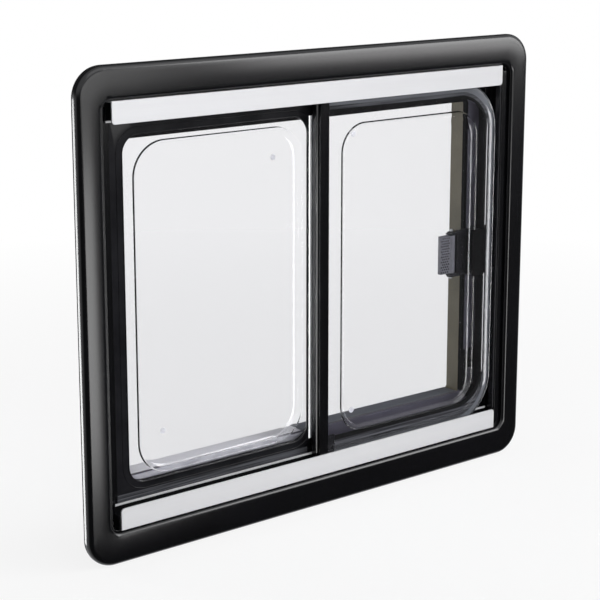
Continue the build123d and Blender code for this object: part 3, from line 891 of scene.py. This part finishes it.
for name, azimuth, elevation, distance, width, height, radiance in softboxes:
    light = bpy.data.lights.new(name, "AREA")
    light.shape = "RECTANGLE"
    light.size = width * mm
    light.size_y = height * mm
    light.energy = 4 * radiance * light.size * light.size_y  # a lamp's radiance is its power / (4 * area)
    lamp = bpy.data.objects.new(name, light)
    bpy.context.scene.collection.objects.link(lamp)
    turn, tilt = math.radians(azimuth), math.radians(elevation)
    aim = (math.sin(turn) * math.cos(tilt), -math.cos(turn) * math.cos(tilt), math.sin(tilt))
    lamp.location = [distance * mm * c for c in aim]
    lamp.rotation_euler = (math.pi / 2 - tilt, 0, turn)
    lamp.visible_camera = False
    pieces = onlyFor.get(name, leftOut.get(name))
    if pieces:  # a card for some pieces alone, or a lamp that leaves some to their own card
        chosen = bpy.data.collections.new(name)
        lamp.light_linking.receiver_collection = chosen
        for piece in pieces:
            chosen.objects.link(bpy.data.objects[piece])
        for link in chosen.collection_objects:
            link.light_linking.link_state = "INCLUDE" if name in onlyFor else "EXCLUDE"
print("lamps:", len(softboxes))


def raySplit(tree):
    # seen: straight to the eye, or through clear sheets with no mirror bounce so far; mirrored: by way of a
    # reflection, or bent through a sheet
    path = addNode(tree, "ShaderNodeLightPath").outputs
    eye, gloss, passed = path["Is Camera Ray"], path["Is Glossy Ray"], path["Is Transmission Ray"]
    direct = addNode(tree, "ShaderNodeMath", {1: 0.5}, {0: path["Glossy Depth"]}, operation="LESS_THAN")
    clear = addNode(tree, "ShaderNodeMath", links={0: passed, 1: direct.outputs[0]}, operation="MULTIPLY")
    seen = addNode(tree, "ShaderNodeMath", links={0: eye, 1: clear.outputs[0]}, operation="MAXIMUM")
    mirrored = addNode(tree, "ShaderNodeMath", links={0: gloss, 1: passed}, operation="MAXIMUM")
    return seen.outputs[0], mirrored.outputs[0]


world = bpy.context.scene.world or bpy.data.worlds.new("studio")
bpy.context.scene.world = world
world.use_nodes = True
tree = world.node_tree
tree.nodes.clear()
seen, mirrored = raySplit(tree)
towards = addNode(tree, "ShaderNodeTexCoord").outputs["Generated"]
way = addNode(tree, "ShaderNodeSeparateXYZ", links={0: towards}).outputs
glows = (  # what shines in the finishes: axis, range and strengths, then its fade's axis, range and shares
    ("Z", (-0.02, 0.30, 0.05, 1.0), "Y", (0.0, 0.4, 1.0, 0.1)),  # white above, dark below like black cloth
    ("Y", (-0.3, 0.1, 0.05, 0.9), "Z", (0.0, 0.12, 1.0, 0.1)),  # white again behind, towards the room
)
parts = []
for axis, rise, fadeAxis, fall in glows:  # the fades make it dark above and behind at once
    glow = addNode(tree, "ShaderNodeMapRange", dict(zip(rangeEnds, rise)), {"Value": way[axis]})
    fade = addNode(tree, "ShaderNodeMapRange", dict(zip(rangeEnds, fall)), {"Value": way[fadeAxis]})
    both = {0: glow.outputs["Result"], 1: fade.outputs["Result"]}
    parts.append(addNode(tree, "ShaderNodeMath", links=both, operation="MULTIPLY").outputs[0])
allRound = addNode(tree, "ShaderNodeMath", links={0: parts[0], 1: parts[1]}, operation="MAXIMUM")
surround = linear(studio["surround"])
dim = addNode(tree, "ShaderNodeBackground", {"Color": surround, "Strength": studio["ambient"]})
shine = addNode(tree, "ShaderNodeBackground", {"Color": surround}, {"Strength": allRound.outputs[0]})
white = addNode(tree, "ShaderNodeBackground", {"Color": (1, 1, 1, 1), "Strength": 1.0})
lit = addNode(tree, "ShaderNodeMixShader", links={0: mirrored, 1: dim.outputs[0], 2: shine.outputs[0]})
either = addNode(tree, "ShaderNodeMixShader", links={0: seen, 1: lit.outputs[0], 2: white.outputs[0]})
addNode(tree, "ShaderNodeOutputWorld", links={"Surface": either.outputs[0]})

solid = bmesh.new()
bmesh.ops.create_circle(solid, cap_ends=True, segments=studio["floorSides"], radius=studio["floorR"] * mm)
bmesh.ops.translate(solid, verts=solid.verts, vec=(0, 0, studio["floorZ"] * mm))
floor = bpy.data.objects.new("floor", meshFrom(solid))
bpy.context.scene.collection.objects.link(floor)
paper = bpy.data.materials.new("paleStudioFloor")
paper.use_nodes = True
tree = paper.node_tree
tree.nodes.clear()
seen, mirrored = raySplit(tree)
place = addNode(tree, "ShaderNodeTexCoord").outputs["Object"]
reach = addNode(tree, "ShaderNodeVectorMath", links={0: place}, operation="LENGTH")
ends = dict(zip(rangeEnds, studio["shadeReach"] + (1 - studio["floorShade"], 1.0)))
near = addNode(tree, "ShaderNodeMapRange", ends, {"Value": reach.outputs["Value"]}).outputs["Result"]
matt = addNode(tree, "ShaderNodeBsdfDiffuse", {"Color": linear(studio["floorTone"])})
white = addNode(tree, "ShaderNodeEmission", {"Color": (1, 1, 1, 1), "Strength": 1.0})
through = addNode(tree, "ShaderNodeBsdfTransparent")  # reflections look past the floor
pale = addNode(tree, "ShaderNodeMixShader", links={0: near, 1: matt.outputs[0], 2: white.outputs[0]})
other = addNode(tree, "ShaderNodeMixShader", links={0: mirrored, 1: matt.outputs[0], 2: through.outputs[0]})
either = addNode(tree, "ShaderNodeMixShader", links={0: seen, 1: other.outputs[0], 2: pale.outputs[0]})
addNode(tree, "ShaderNodeOutputMaterial", links={"Surface": either.outputs[0]})
floor.data.materials.append(paper)

lens = bpy.data.cameras.new("camera")
lens.lens = studio["lens"]
lens.sensor_width = studio["sensor"]
lens.shift_y = studio["shiftY"]
camera = bpy.data.objects.new("camera", lens)
camera.location = inMetres(*studio["eye"])
camera.rotation_euler = (math.radians(90 - studio["pitch"]), 0, -math.radians(studio["yaw"]))
bpy.context.scene.collection.objects.link(camera)
bpy.context.scene.camera = camera
bpy.context.scene.view_settings.view_transform = "Standard"
print("studio ready")
